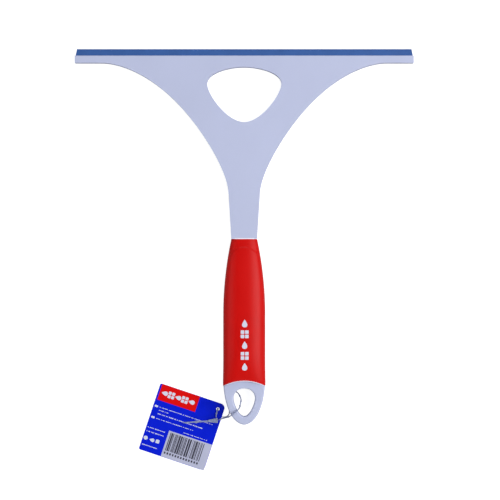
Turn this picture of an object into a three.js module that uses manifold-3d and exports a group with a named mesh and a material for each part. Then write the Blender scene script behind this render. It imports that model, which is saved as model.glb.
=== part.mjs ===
// A window cleaning squeegee lying on its back, with its shop tag still tied to the handle.
// Millimetres, +Z up. X runs along the blade, Y runs up the handle towards the blade, and the
// front face looks up. The origin is under the middle of the squeegee's box, on the surface.
import * as THREE from 'three';
import { mergeVertices } from 'three/addons/utils/BufferGeometryUtils.js';
import Module from 'manifold-3d';

const wasm = await Module();
wasm.setup();

// Overall sizes: the lengths add up to 310, from the edge of the blade to the tip of the tail
const HEAD_WIDTH = 280;
const HEAD_HEIGHT = 107.4;
const NECK_LENGTH = 37.9;
const GRIP_LENGTH = 121.2;
const TAIL_LENGTH = 31.9;

// Clearance between pieces that touch or are moulded round each other
const GAP = 0.3;

// Blade: the lip stands out of the slot, the bead keeps it in
const BLADE_REACH = 5.7;
const BLADE_THICKNESS = 2.2;
const BLADE_EDGE_THICKNESS = 1.6;
const BLADE_END_INSET = 0.5;
const BLADE_END_TRIM = 1.1;
const BEAD_THICKNESS = 3.8;
const BEAD_HEIGHT = 1.8;
const BEAD_DEPTH = 3.8;

// Head: the bar that holds the blade, and the two arms that sweep down to the neck
const BAR_HEIGHT = 5.9;
const BAR_DEPTH = 8;
const BAR_STRAIGHT = 22;
const ARM_START_REACH = 15.4;
const WAIST_DROP = 58.9;
const WAIST_HALF_WIDTH = 34.7;
const WAIST_SLOPE = THREE.MathUtils.degToRad(124);
const ARM_WAIST_REACH = 58.5;
const NECK_WAIST_REACH = 22.9;
const NECK_TOP_HALF_WIDTH = 13;
const NECK_TOP_REACH = 11.8;

// Triangular opening in the head
const WINDOW_RAIL = 9.3;
const WINDOW_HALF_WIDTH = 30.7;
const WINDOW_SHOULDER = 13.5;
const WINDOW_LENGTH = 45.6;
const WINDOW_TOP_REACH = 13.2;
const WINDOW_FOOT_REACH = 13.8;

// Back of the head: shallow pockets between the flange and the ribs
const FLANGE = 2.6;
const WEB = 3;
const POCKET_DEPTH = 3.9;
const POCKET_HALF_SPAN = 96;
const POCKET_LENGTH = 66;
const RIB = 2.2;
const ARM_RIBS = 3;

// How far the head's front and back lines fall below a straight run from the neck's mouth
const FRONT_SAG = 3.2;
const BACK_SAG = 2.6;
const MOUTH_EASE = 0.18;
const BAR_EASE = 0.54;

// Neck, handle core and grip: half widths and half depths about the handle's axis
const GRIP_FLARE = 62;
const MOUTH_HALF_WIDTH = 10.6;
const MOUTH_HALF_DEPTH = 5.5;
const GRIP_HALF_WIDTH = 17.7;
const GRIP_HALF_DEPTH = 11;
const GRIP_END_HALF_DEPTH = 8.6;
const GRIP_END_TAPER = 30;
const SKIN_AT_MOUTH = 1.9;
const SKIN_SIDE = 3.5;
const SKIN_FACE = 4;
const SECTION_POWER = 2.6;
const SECTION_SIDES = 32;
const CORE_OVERLAP = 4;
const CORE_STATIONS = 18;
const GRIP_STATIONS = 22;

// Tail with the hanging eye: a small step narrower than the grip
const TAIL_STEP = 0.6;
const TAIL_CROWN = 4.4;
const TAIL_ROOT_THICKNESS = 12;
const TAIL_TIP_THICKNESS = 8;
const TAIL_DROP = 0.5;
const EYE_FROM_SHOULDER = 1.9;
const EYE_LENGTH = 23.2;
const EYE_HALF_WIDTH = 8.8;
const EYE_SHOULDER = 8.5;
const EYE_TOP_REACH = 5.3;
const EYE_FOOT_REACH = 4.6;
const TAIL_SIDE_REACH = 25;
const TAIL_SIDE_LEAN = 2;
const TAIL_TIP_REACH = 5.4;

// Card tag, lying under the tie beside the tail
const TAG_WIDTH = 57;
const TAG_HEIGHT = 57.6;
const TAG_THICKNESS = 0.4;
const TAG_LIFT = 1.4;
const TAG_TURN = THREE.MathUtils.degToRad(-18.5);
const TAG_HOLE_RADIUS = 1.7;
const TAG_HOLE_FROM_SIDE = 5.2;
const TAG_HOLE_FROM_TOP = 5.2;
const TAG_OUTER_CORNER = 3.7;
const TAG_INNER_CORNER = 1.4;
const TAG_HOLE_PLACE = new THREE.Vector2(-21.9, 12);

// Beaded tie: a free strap, from the lock round the rim of the eye and up through the tag.
// Places are measured from the tip of the tail.
const TIE_DIAMETER = 0.9;
const TIE_SIDES = 8;
const TIE_STEPS = 72;
const TIE_ROUTE = [
  [-21.3, 3.1, 3.2],
  [-19.5, 3.9, 4.6],
  [-17.2, 4.7, 7.0],
  [-14.8, 5.7, 10.2],
  [-13.1, 6.4, 13.1],
  [-11.6, 7.3, 15.3],
  [-9.5, 8.9, 16.3],
  [-7.2, 10.9, 16.5],
  [-5.0, 12.7, 15.8],
  [-3.8, 14.5, 13.8],
  [-3.3, 16.6, 11.3],
  [-2.8, 18.6, 9.6],
  [-2.7, 20.6, 8.3],
  [-3.6, 23.0, 6.8],
  [-5.0, 25.2, 5.3],
  [-6.8, 26.5, 4.2],
  [-9.0, 26.7, 3.8],
  [-11.2, 25.3, 3.4],
  [-12.5, 22.4, 2.9],
  [-12.9, 19.0, 2.4],
  [-12.9, 15.6, 1.9],
  [-12.6, 12.4, 1.5],
  [-12.4, 9.8, 1.2],
  [-12.6, 7.8, 0.95],
  [-13.8, 6.2, 0.75],
  [-15.9, 5.3, 0.6],
  [-18.3, 5.3, 0.5],
  [-20.3, 6.4, 0.5],
  [-21.4, 8.2, 0.5],
  [-21.8, 10.1, 0.5],
  [-21.85, 11.6, 0.75],
  [-21.9, 12.35, 1.5],
  [-22.1, 12.0, 2.35],
  [-22.4, 11.0, 2.95],
  [-22.7, 9.7, 3.2],
  [-23.0, 8.2, 3.2],
  [-23.2, 6.7, 3.2],
  [-23.3, 5.3, 3.2],
];

// Lock head of the tie, and the strap's loose end that sticks out of it
const LOCK_PLACE = new THREE.Vector2(-22, 2.7);
const LOCK_TURN = THREE.MathUtils.degToRad(184);
const LOCK_LENGTH = 7.8;
const LOCK_HALF_WIDTH = 2.1;
const LOCK_TIP_HALF_WIDTH = 0.9;
const LOCK_THICKNESS = 2.2;
const LOOSE_END_LENGTH = 21.4;
const LOOSE_END_HALF_WIDTH = 0.6;
const LOOSE_END_POINT = 2.5;
const BULGE_PLACE = 9.9;
const BULGE_HALF_WIDTH = 1.1;
const BULGE_FLAT = 0.6;
const BULGE_RAMP = 2.2;
const LOOSE_END_THICKNESS = 0.9;

// Places and sizes worked out from the ones above
const HEAD_LENGTH = BLADE_REACH + BAR_HEIGHT + HEAD_HEIGHT + NECK_LENGTH;
const OVERALL_LENGTH = HEAD_LENGTH + GRIP_LENGTH + TAIL_LENGTH;
const BLADE_EDGE_Y = OVERALL_LENGTH / 2;
const BAR_TOP_Y = BLADE_EDGE_Y - BLADE_REACH;
const BAR_FOOT_Y = BAR_TOP_Y - BAR_HEIGHT;
const NECK_TOP_Y = BAR_FOOT_Y - HEAD_HEIGHT;
const AXIS_HEIGHT = GRIP_HALF_DEPTH;
const TAIL_MID_HEIGHT = AXIS_HEIGHT - TAIL_DROP;
const TIP_Y = -OVERALL_LENGTH / 2;
const SHOULDER_Y = TIP_Y + TAIL_LENGTH;
const CROWN_Y = SHOULDER_Y + TAIL_CROWN;
const MOUTH_Y = SHOULDER_Y + GRIP_LENGTH;
const WINDOW_TOP_Y = BAR_TOP_Y - WINDOW_RAIL;
const EYE_TOP_Y = SHOULDER_Y - EYE_FROM_SHOULDER;
const TAIL_HALF_WIDTH = GRIP_HALF_WIDTH - TAIL_STEP;
const LOCK_HEIGHT = TAG_LIFT + TAG_THICKNESS + GAP;
const SLOT_MID_Z = BAR_DEPTH / 2;
const CURVE_POINTS = 14;
const BEYOND = 10;
const SHOULDER_EASE = 0.38;
const FOOT_EASE = 0.29;

// Colours and surface values
const WHITE_PLASTIC = { color: 0xbec5e1, roughness: 0.42, metalness: 0 };
const BLUE_RUBBER = { color: 0x3b629e, roughness: 0.55, metalness: 0 };
const RED_GRIP = { color: 0xc7130b, roughness: 0.6, metalness: 0 };
const CARD = { color: 0x1420c0, roughness: 0.5, metalness: 0 };
const CLEAR_PLASTIC = { color: 0xd5d8e4, roughness: 0.35, metalness: 0 };

// Turns a geometry into a solid: shared vertices merged, empty triangles dropped, faces out.
function toSolid(geometry) {
  const bare = geometry.clone();
  bare.deleteAttribute('normal');
  bare.deleteAttribute('uv');
  const merged = mergeVertices(bare, 1e-4);
  const places = merged.attributes.position.array;
  const corners = [];
  for (let i = 0; i < merged.index.count; i += 3) {
    const triangle = [0, 1, 2].map((k) => merged.index.getX(i + k));
    if (new Set(triangle).size === 3) corners.push(triangle);
  }
  if (signedVolume(places, corners) < 0) corners.forEach((triangle) => triangle.reverse());
  return new wasm.Manifold(new wasm.Mesh({
    numProp: 3,
    vertProperties: Float32Array.from(places),
    triVerts: Uint32Array.from(corners.flat()),
  }));
}

function signedVolume(places, corners) {
  const point = (i) => new THREE.Vector3().fromArray(places, 3 * i);
  const sixth = ([a, b, c]) => point(a).dot(point(b).cross(point(c))) / 6;
  return corners.reduce((sum, triangle) => sum + sixth(triangle), 0);
}

function toGeometry(solid) {
  const mesh = solid.getMesh();
  const geometry = new THREE.BufferGeometry();
  geometry.setAttribute('position', new THREE.BufferAttribute(mesh.vertProperties, 3));
  geometry.setIndex(new THREE.BufferAttribute(mesh.triVerts, 1));
  return geometry;
}

// Moves every vertex of a geometry by a rule.
function reshape(geometry, rule) {
  const place = geometry.attributes.position;
  for (let i = 0; i < place.count; i += 1) {
    const moved = rule(new THREE.Vector3().fromBufferAttribute(place, i));
    place.setXYZ(i, moved.x, moved.y, moved.z);
  }
  return geometry;
}

// A prism standing on z = from, cut to a plan outline given in X and Y.
function planPrism(points, from, to) {
  const shape = new THREE.Shape(points);
  const prism = new THREE.ExtrudeGeometry(shape, { depth: to - from, bevelEnabled: false });
  prism.translate(0, 0, from);
  return toSolid(prism);
}

// A prism along X, cut to a side outline given in Y and Z.
function sidePrism(points, halfWidth) {
  return toSolid(alongX(new THREE.Shape(points), halfWidth));
}

// Extrudes a Y and Z outline along X, the same distance each way from the middle.
function alongX(shape, halfWidth) {
  const strip = new THREE.ExtrudeGeometry(shape, { depth: 2 * halfWidth, bevelEnabled: false });
  const yAxis = new THREE.Vector3(0, 1, 0);
  const zAxis = new THREE.Vector3(0, 0, 1);
  const xAxis = new THREE.Vector3(1, 0, 0);
  strip.applyMatrix4(new THREE.Matrix4().makeBasis(yAxis, zAxis, xAxis));
  strip.translate(-halfWidth, 0, 0);
  return strip;
}

function block(minimum, maximum) {
  const size = maximum.clone().sub(minimum);
  const box = new THREE.BoxGeometry(size.x, size.y, size.z);
  const middle = minimum.clone().add(maximum).multiplyScalar(0.5);
  box.translate(middle.x, middle.y, middle.z);
  return toSolid(box);
}

function bezier(start, startHandle, endHandle, end) {
  return new THREE.CubicBezierCurve(start, startHandle, endHandle, end).getPoints(CURVE_POINTS);
}

const flat = (x, y) => new THREE.Vector2(x, y);

// Closes a right-hand outline, given from top to bottom, with its mirror image.
function mirrored(rightSide) {
  const leftSide = rightSide
    .filter((point) => point.x > 1e-6)
    .map((point) => flat(-point.x, point.y))
    .reverse();
  return withoutRepeats([...rightSide, ...leftSide]);
}

function withoutRepeats(points) {
  return points.filter((point, i) => point.distanceTo(points.at(i - 1)) > 1e-3);
}

// Moves a clockwise outline inwards, or outwards by a negative distance.
function inset(points, distance) {
  return points.map((point, i) => {
    const before = point.clone().sub(points.at(i - 1)).normalize();
    const after = points[(i + 1) % points.length].clone().sub(point).normalize();
    const normal = flat(before.y + after.y, -before.x - after.x).normalize();
    const stretch = 1 / Math.max(0.5, normal.dot(flat(after.y, -after.x)));
    return point.clone().addScaledVector(normal, distance * stretch);
  });
}

// A body with rounded sections along Y: half width and half depth are functions of y.
function sectionedBar(fromY, toY, halfWidthAt, halfDepthAt, stations) {
  const profile = [flat(0, fromY)];
  for (let i = 0; i <= stations; i += 1) {
    profile.push(flat(1, THREE.MathUtils.lerp(fromY, toY, i / stations)));
  }
  profile.push(flat(0, toY));
  const squared = (value) => Math.sign(value) * Math.abs(value) ** (2 / SECTION_POWER);
  return toSolid(reshape(new THREE.LatheGeometry(profile, SECTION_SIDES), (point) => {
    const onAxis = Math.hypot(point.x, point.z) < 0.5;
    const angle = Math.atan2(point.z, point.x);
    const x = onAxis ? 0 : halfWidthAt(point.y) * squared(Math.cos(angle));
    const z = onAxis ? 0 : halfDepthAt(point.y) * squared(Math.sin(angle));
    return new THREE.Vector3(x, point.y, AXIS_HEIGHT + z);
  }));
}

// How far the grip still is from its full size: 1 at its mouth, 0 where the flare ends.
function flare(y) {
  const along = THREE.MathUtils.clamp((MOUTH_Y - y) / GRIP_FLARE, 0, 1);
  return (1 - along) ** 2;
}

// How far the grip's faces have closed in again towards the tail: 0 before the taper.
function taper(y) {
  return THREE.MathUtils.clamp((SHOULDER_Y + GRIP_END_TAPER - y) / GRIP_END_TAPER, 0, 1) ** 2;
}

const gripHalfWidth = (y) => GRIP_HALF_WIDTH - (GRIP_HALF_WIDTH - MOUTH_HALF_WIDTH) * flare(y);

function gripHalfDepth(y) {
  const full = GRIP_HALF_DEPTH - (GRIP_HALF_DEPTH - MOUTH_HALF_DEPTH) * flare(y);
  return full - (GRIP_HALF_DEPTH - GRIP_END_HALF_DEPTH) * taper(y);
}

const skinSide = (y) => SKIN_SIDE - (SKIN_SIDE - SKIN_AT_MOUTH) * flare(y);
const skinFace = (y) => SKIN_FACE - (SKIN_FACE - SKIN_AT_MOUTH) * flare(y);
const coreHalfWidth = (y) => gripHalfWidth(y) - skinSide(y);
const coreHalfDepth = (y) => gripHalfDepth(y) - skinFace(y);

// Plan outline of the head and neck, clockwise from the middle of the blade bar.
function headOutline() {
  const armStart = flat(HEAD_WIDTH / 2 - BAR_STRAIGHT, BAR_FOOT_Y);
  const waist = flat(WAIST_HALF_WIDTH, BAR_FOOT_Y - WAIST_DROP);
  const waistRun = flat(Math.cos(WAIST_SLOPE), -Math.sin(WAIST_SLOPE));
  const neckTop = flat(NECK_TOP_HALF_WIDTH, NECK_TOP_Y);
  const mouth = flat(MOUTH_HALF_WIDTH, MOUTH_Y);
  const neckRun = mouth.clone().sub(neckTop).normalize();
  return mirrored([
    flat(HEAD_WIDTH / 2, BAR_TOP_Y),
    flat(HEAD_WIDTH / 2, BAR_FOOT_Y),
    ...bezier(
      armStart,
      flat(armStart.x - ARM_START_REACH, armStart.y),
      waist.clone().addScaledVector(waistRun, -ARM_WAIST_REACH),
      waist,
    ),
    ...bezier(
      waist,
      waist.clone().addScaledVector(waistRun, NECK_WAIST_REACH),
      neckTop.clone().addScaledVector(neckRun, -NECK_TOP_REACH),
      neckTop,
    ),
    mouth,
  ]);
}

// A rounded opening, symmetrical about the handle: wide at its shoulder, narrow at its foot.
function openingOutline({ topY, halfWidth, shoulder, length, topReach, footReach }) {
  const shoulderY = topY - shoulder;
  const footY = topY - length;
  return mirrored([
    ...bezier(
      flat(0, topY),
      flat(topReach, topY),
      flat(halfWidth, THREE.MathUtils.lerp(topY, shoulderY, SHOULDER_EASE)),
      flat(halfWidth, shoulderY),
    ),
    ...bezier(
      flat(halfWidth, shoulderY),
      flat(halfWidth, THREE.MathUtils.lerp(shoulderY, footY, FOOT_EASE)),
      flat(footReach, footY),
      flat(0, footY),
    ),
  ]);
}

function windowOutline() {
  return openingOutline({
    topY: WINDOW_TOP_Y,
    halfWidth: WINDOW_HALF_WIDTH,
    shoulder: WINDOW_SHOULDER,
    length: WINDOW_LENGTH,
    topReach: WINDOW_TOP_REACH,
    footReach: WINDOW_FOOT_REACH,
  });
}

function eyeOutline() {
  return openingOutline({
    topY: EYE_TOP_Y,
    halfWidth: EYE_HALF_WIDTH,
    shoulder: EYE_SHOULDER,
    length: EYE_LENGTH,
    topReach: EYE_TOP_REACH,
    footReach: EYE_FOOT_REACH,
  });
}

// The arc where the grip ends and the tail begins, from the middle outwards.
function crownArc(halfWidth, rise) {
  const radius = (TAIL_HALF_WIDTH ** 2 + TAIL_CROWN ** 2) / (2 * TAIL_CROWN);
  const points = [];
  for (let i = 0; i <= CURVE_POINTS; i += 1) {
    const x = (halfWidth * i) / CURVE_POINTS;
    points.push(flat(x, CROWN_Y + rise - radius + Math.sqrt(radius ** 2 - x ** 2)));
  }
  return points;
}

function tailOutline() {
  return mirrored([
    ...crownArc(TAIL_HALF_WIDTH, 0),
    ...bezier(
      flat(TAIL_HALF_WIDTH, SHOULDER_Y),
      flat(TAIL_HALF_WIDTH - TAIL_SIDE_LEAN, SHOULDER_Y - TAIL_SIDE_REACH),
      flat(TAIL_TIP_REACH, TIP_Y),
      flat(0, TIP_Y),
    ),
  ]);
}

// One line of the head seen from the side, in Y and Z: curved from the neck's mouth to the
// bar's foot, then flat across the bar.
function sideLine(mouthZ, sag, barZ) {
  const span = BAR_FOOT_Y - MOUTH_Y;
  return [
    ...bezier(
      flat(MOUTH_Y, mouthZ),
      flat(MOUTH_Y + span * MOUTH_EASE, mouthZ - sag),
      flat(MOUTH_Y + span * BAR_EASE, barZ),
      flat(BAR_FOOT_Y, barZ),
    ),
    flat(BAR_TOP_Y, barZ),
  ];
}

const frontLine = (drop) => (
  sideLine(AXIS_HEIGHT + MOUTH_HALF_DEPTH - drop, FRONT_SAG, BAR_DEPTH - drop)
);

const backLine = (rise) => sideLine(AXIS_HEIGHT - MOUTH_HALF_DEPTH + rise, BACK_SAG, rise);

function headBlank() {
  const sideOutline = [...frontLine(0), ...backLine(0).reverse()];
  const plan = planPrism(headOutline(), -BEYOND, AXIS_HEIGHT + GRIP_HALF_DEPTH + BEYOND);
  return plan.intersect(sidePrism(sideOutline, HEAD_WIDTH / 2 + BEYOND));
}

// Everything that is cored out of the head's back: no deeper than the pocket depth, and never
// closer to the front face than the web.
function headPockets() {
  const behind = [flat(BAR_TOP_Y, -BEYOND), flat(MOUTH_Y, -BEYOND)];
  const pocketTop = BAR_FOOT_Y - FLANGE;
  const reach = block(
    new THREE.Vector3(-POCKET_HALF_SPAN, pocketTop - POCKET_LENGTH, -BEYOND),
    new THREE.Vector3(POCKET_HALF_SPAN, pocketTop, BAR_DEPTH + BEYOND),
  );
  let pockets = planPrism(inset(headOutline(), FLANGE), -BEYOND, BAR_DEPTH + BEYOND)
    .intersect(sidePrism([...frontLine(WEB), ...behind], HEAD_WIDTH))
    .intersect(sidePrism([...backLine(POCKET_DEPTH), ...behind], HEAD_WIDTH))
    .intersect(reach)
    .subtract(planPrism(inset(windowOutline(), -FLANGE), -2 * BEYOND, BAR_DEPTH + 2 * BEYOND));
  for (const rib of headRibs()) pockets = pockets.subtract(rib);
  return pockets;
}

// A rib on the middle line below the opening, and ribs at even steps along each arm.
function headRibs() {
  const rib = (x) => block(
    new THREE.Vector3(x - RIB / 2, TIP_Y, -2 * BEYOND),
    new THREE.Vector3(x + RIB / 2, BAR_TOP_Y, BAR_DEPTH + 2 * BEYOND),
  );
  const firstRib = WINDOW_HALF_WIDTH + FLANGE;
  const step = (POCKET_HALF_SPAN - firstRib) / ARM_RIBS;
  const ribs = [rib(0)];
  for (let i = 0; i < ARM_RIBS; i += 1) {
    ribs.push(rib(firstRib + i * step), rib(-firstRib - i * step));
  }
  return ribs;
}

// The blade's section in Y and Z, grown by a clearance to give the slot.
function bladeSection(clearance) {
  const beadFoot = BAR_TOP_Y - BEAD_DEPTH - clearance;
  const beadTop = BAR_TOP_Y - BEAD_DEPTH + BEAD_HEIGHT + clearance;
  const bead = BEAD_THICKNESS / 2 + clearance;
  const neck = BLADE_THICKNESS / 2 + clearance;
  const edge = clearance > 0 ? neck : BLADE_EDGE_THICKNESS / 2;
  const half = [
    flat(beadFoot, bead),
    flat(beadTop, bead),
    flat(beadTop, neck),
    flat(BAR_TOP_Y, neck),
    flat(BLADE_EDGE_Y, edge),
  ];
  const upper = half.map((point) => flat(point.x, SLOT_MID_Z + point.y));
  const lower = half.map((point) => flat(point.x, SLOT_MID_Z - point.y)).reverse();
  return withoutRepeats([...upper, ...lower]);
}

function bladeSlot() {
  return sidePrism(bladeSection(GAP), HEAD_WIDTH / 2 + BEYOND);
}

function tailBlank() {
  const sideOutline = [
    flat(CROWN_Y, TAIL_MID_HEIGHT + TAIL_ROOT_THICKNESS / 2),
    flat(CROWN_Y, TAIL_MID_HEIGHT - TAIL_ROOT_THICKNESS / 2),
    flat(TIP_Y, TAIL_MID_HEIGHT - TAIL_TIP_THICKNESS / 2),
    flat(TIP_Y, TAIL_MID_HEIGHT + TAIL_TIP_THICKNESS / 2),
  ];
  const top = AXIS_HEIGHT + GRIP_HALF_DEPTH;
  return planPrism(tailOutline(), 0, top)
    .intersect(sidePrism(sideOutline, TAIL_HALF_WIDTH + BEYOND))
    .subtract(planPrism(eyeOutline(), -BEYOND, top + BEYOND));
}

function bodyMoulding() {
  const core = sectionedBar(
    CROWN_Y - CORE_OVERLAP, MOUTH_Y + CORE_OVERLAP, coreHalfWidth, coreHalfDepth, CORE_STATIONS,
  );
  return headBlank()
    .subtract(planPrism(windowOutline(), -BEYOND, BAR_DEPTH + BEYOND))
    .subtract(headPockets())
    .subtract(bladeSlot())
    .add(core)
    .add(tailBlank());
}

function rubberBlade() {
  const half = HEAD_WIDTH / 2 - BLADE_END_INSET;
  const shape = new THREE.Shape(bladeSection(0));
  const strip = alongX(shape, half);
  return toSolid(reshape(strip, (point) => {
    const out = Math.max(0, (point.y - BAR_TOP_Y) / BLADE_REACH);
    return point.setX(Math.sign(point.x) * (half - BLADE_END_TRIM * out));
  }));
}

function gripSleeve() {
  const grownWidth = (y) => coreHalfWidth(y) + GAP;
  const grownDepth = (y) => coreHalfDepth(y) + GAP;
  const outer = sectionedBar(
    SHOULDER_Y - BEYOND, MOUTH_Y - GAP, gripHalfWidth, gripHalfDepth, GRIP_STATIONS,
  );
  const bore = sectionedBar(
    SHOULDER_Y - 2 * BEYOND, MOUTH_Y + BEYOND, grownWidth, grownDepth, CORE_STATIONS,
  );
  const arc = crownArc(GRIP_HALF_WIDTH + BEYOND, GAP);
  const below = mirrored([...arc, flat(arc.at(-1).x, SHOULDER_Y - 3 * BEYOND)]);
  return outer.subtract(bore).subtract(planPrism(below, -BEYOND, 4 * BEYOND));
}

// Card outline about its own middle, with round corners and the punched hole.
function tagShape() {
  const right = TAG_WIDTH / 2;
  const top = TAG_HEIGHT / 2;
  const outer = TAG_OUTER_CORNER;
  const inner = TAG_INNER_CORNER;
  const shape = new THREE.Shape();
  shape.absarc(right - outer, top - outer, outer, Math.PI / 2, 0, true);
  shape.absarc(right - outer, outer - top, outer, 0, -Math.PI / 2, true);
  shape.absarc(inner - right, inner - top, inner, -Math.PI / 2, -Math.PI, true);
  shape.absarc(inner - right, top - inner, inner, Math.PI, Math.PI / 2, true);
  shape.closePath();
  const hole = new THREE.Path();
  const holeX = right - TAG_HOLE_FROM_SIDE;
  hole.absarc(holeX, top - TAG_HOLE_FROM_TOP, TAG_HOLE_RADIUS, 0, 2 * Math.PI, false);
  shape.holes.push(hole);
  return shape;
}

// The tag is turned about its punched hole, which sits where the tie comes up.
function hangTag() {
  const card = new THREE.ExtrudeGeometry(tagShape(), {
    depth: TAG_THICKNESS,
    bevelEnabled: false,
    curveSegments: 8,
  });
  card.translate(TAG_HOLE_FROM_SIDE - TAG_WIDTH / 2, TAG_HOLE_FROM_TOP - TAG_HEIGHT / 2, 0);
  card.rotateZ(TAG_TURN);
  card.translate(TAG_HOLE_PLACE.x, TAG_HOLE_PLACE.y, TAG_LIFT);
  return toSolid(card);
}

function tagTie() {
  const route = new THREE.CatmullRomCurve3(
    TIE_ROUTE.map((point) => new THREE.Vector3(...point)), false, 'centripetal',
  );
  const section = [];
  for (let i = 0; i < TIE_SIDES; i += 1) {
    const angle = (2 * Math.PI * i) / TIE_SIDES;
    section.push(flat(Math.cos(angle), Math.sin(angle)).multiplyScalar(TIE_DIAMETER / 2));
  }
  return toSolid(new THREE.ExtrudeGeometry(new THREE.Shape(section), {
    steps: TIE_STEPS,
    extrudePath: route,
    bevelEnabled: false,
  }));
}

function tieLock() {
  const wedge = planPrism([
    flat(0, LOCK_HALF_WIDTH),
    flat(LOCK_LENGTH, LOCK_TIP_HALF_WIDTH),
    flat(LOCK_LENGTH, -LOCK_TIP_HALF_WIDTH),
    flat(0, -LOCK_HALF_WIDTH),
  ], 0, LOCK_THICKNESS);
  const bulge = (offset, halfWidth) => flat(LOCK_LENGTH + BULGE_PLACE + offset, halfWidth);
  const strapTop = [
    flat(LOCK_LENGTH - 1, LOOSE_END_HALF_WIDTH),
    bulge(-BULGE_RAMP, LOOSE_END_HALF_WIDTH),
    bulge(-BULGE_FLAT, BULGE_HALF_WIDTH),
    bulge(BULGE_FLAT, BULGE_HALF_WIDTH),
    bulge(BULGE_RAMP, LOOSE_END_HALF_WIDTH),
    flat(LOCK_LENGTH + LOOSE_END_LENGTH - LOOSE_END_POINT, LOOSE_END_HALF_WIDTH),
  ];
  const point = flat(LOCK_LENGTH + LOOSE_END_LENGTH, 0);
  const strapFoot = strapTop.map((corner) => flat(corner.x, -corner.y)).reverse();
  const rise = (LOCK_THICKNESS - LOOSE_END_THICKNESS) / 2;
  const strap = planPrism([...strapTop, point, ...strapFoot], rise, rise + LOOSE_END_THICKNESS);
  const geometry = toGeometry(wedge.add(strap));
  geometry.rotateZ(LOCK_TURN);
  geometry.translate(LOCK_PLACE.x, LOCK_PLACE.y, LOCK_HEIGHT);
  return toSolid(geometry);
}

function piece(name, solid, finish) {
  const mesh = new THREE.Mesh(toGeometry(solid), new THREE.MeshStandardMaterial(finish));
  mesh.name = name;
  return mesh;
}

const squeegee = new THREE.Group();
squeegee.add(
  piece('body_moulding', bodyMoulding(), WHITE_PLASTIC),
  piece('rubber_blade', rubberBlade(), BLUE_RUBBER),
  piece('grip_sleeve', gripSleeve(), RED_GRIP),
);

// The tag and its tie hang from the tail, so they are placed from its tip.
const hungPieces = new THREE.Group();
hungPieces.position.y = TIP_Y;
hungPieces.add(
  piece('hang_tag', hangTag(), CARD),
  piece('tag_tie', tagTie(), CLEAR_PLASTIC),
  piece('tie_lock', tieLock(), CLEAR_PLASTIC),
);
squeegee.add(hungPieces);

export default squeegee;
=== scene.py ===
"""A window cleaning squeegee with a rubber blade, a soft grip and a card tag on a clear tie.

The pale body is one moulding: a blade bar with two arms round an open window, a neck, a core that
the grip hides, and a tail with a hanging eye. Sizes are in millimetres in every class, and become
metres when a mesh is made. X runs along the blade, Y up the handle, and Z out of the front face.
"""

import logging
import math
import random
from collections.abc import Callable, Iterator, Sequence
from contextlib import contextmanager
from dataclasses import dataclass, replace
from enum import Enum

import bmesh
import bpy
from bpy.types import Material, NodeSocket, NodeTree, Object
from mathutils import Matrix, Vector


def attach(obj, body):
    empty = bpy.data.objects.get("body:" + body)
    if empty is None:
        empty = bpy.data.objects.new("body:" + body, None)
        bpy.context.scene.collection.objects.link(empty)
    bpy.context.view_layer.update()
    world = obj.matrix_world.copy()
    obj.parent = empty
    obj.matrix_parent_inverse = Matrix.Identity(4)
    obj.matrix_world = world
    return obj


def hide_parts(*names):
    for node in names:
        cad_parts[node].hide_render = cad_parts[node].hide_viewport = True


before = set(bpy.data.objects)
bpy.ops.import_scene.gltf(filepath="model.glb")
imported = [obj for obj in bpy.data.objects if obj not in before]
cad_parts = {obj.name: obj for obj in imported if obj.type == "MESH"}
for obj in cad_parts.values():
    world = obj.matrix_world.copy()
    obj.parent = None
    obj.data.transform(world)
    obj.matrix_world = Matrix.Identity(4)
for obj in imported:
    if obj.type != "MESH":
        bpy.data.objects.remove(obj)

MM = 0.001
LEVEL = 0.999
BROAD_AREA = 4e-5
FLAT_HOLD = 0.25
SAME_PLACE = 0.01
MIDDLE_PLANE = 1e-4
SCATTER_RADIUS = (0.002, 0.002, 0.003)
X_AXIS = Vector((1.0, 0.0, 0.0))
Y_AXIS = Vector((0.0, 1.0, 0.0))
LOG = logging.getLogger("squeegee")

Point = tuple[float, float]
Colour = tuple[float, float, float]
Opening = tuple[float, float, float, float, float, float]


class Part(Enum):
    """The kind of mesh element that a selection works on."""

    EDGE = "EDGE"
    FACE = "FACE"


class Body(Enum):
    """The moving bodies that pieces ride on."""

    SQUEEGEE = "squeegee"
    BLADE = "blade"
    TAG = "tag"


class Slot(Enum):
    """The material slots that pieces take their finish from."""

    PALE_PLASTIC = "pale_plastic"
    BLUE_RUBBER = "blue_rubber"
    SOFT_GRIP = "red_soft_grip"
    CARD = "tag_card"
    CLEAR_STRAP = "clear_strap"


# ---------------------------------------------------------------- modelling moves


def only(piece: Object) -> None:
    """Selects one piece and makes it the active one."""
    bpy.ops.object.select_all(action="DESELECT")
    piece.select_set(True)
    bpy.context.view_layer.objects.active = piece


@contextmanager
def editing(piece: Object) -> Iterator[None]:
    """Opens a piece in edit mode with nothing selected, and closes it again."""
    only(piece)
    bpy.ops.object.mode_set(mode="EDIT")
    bpy.ops.mesh.select_mode(type="VERT")
    bpy.ops.mesh.select_all(action="DESELECT")
    try:
        yield
    finally:
        bpy.ops.object.mode_set(mode="OBJECT")


def pick(piece: Object, part: Part, rule: Callable[[object], bool]) -> None:
    """Selects the edges or faces that a rule accepts, in edit mode.

    Args:
        piece: The piece that is open in edit mode.
        part: Whether the rule looks at edges or faces.
        rule: Takes one element and says whether it is selected.
    """
    bpy.ops.mesh.select_mode(type=part.value)
    bpy.ops.mesh.select_all(action="DESELECT")
    mesh = bmesh.from_edit_mesh(piece.data)
    for element in mesh.edges if part is Part.EDGE else mesh.faces:
        if rule(element):
            element.select_set(True)
    bmesh.update_edit_mesh(piece.data)


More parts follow.
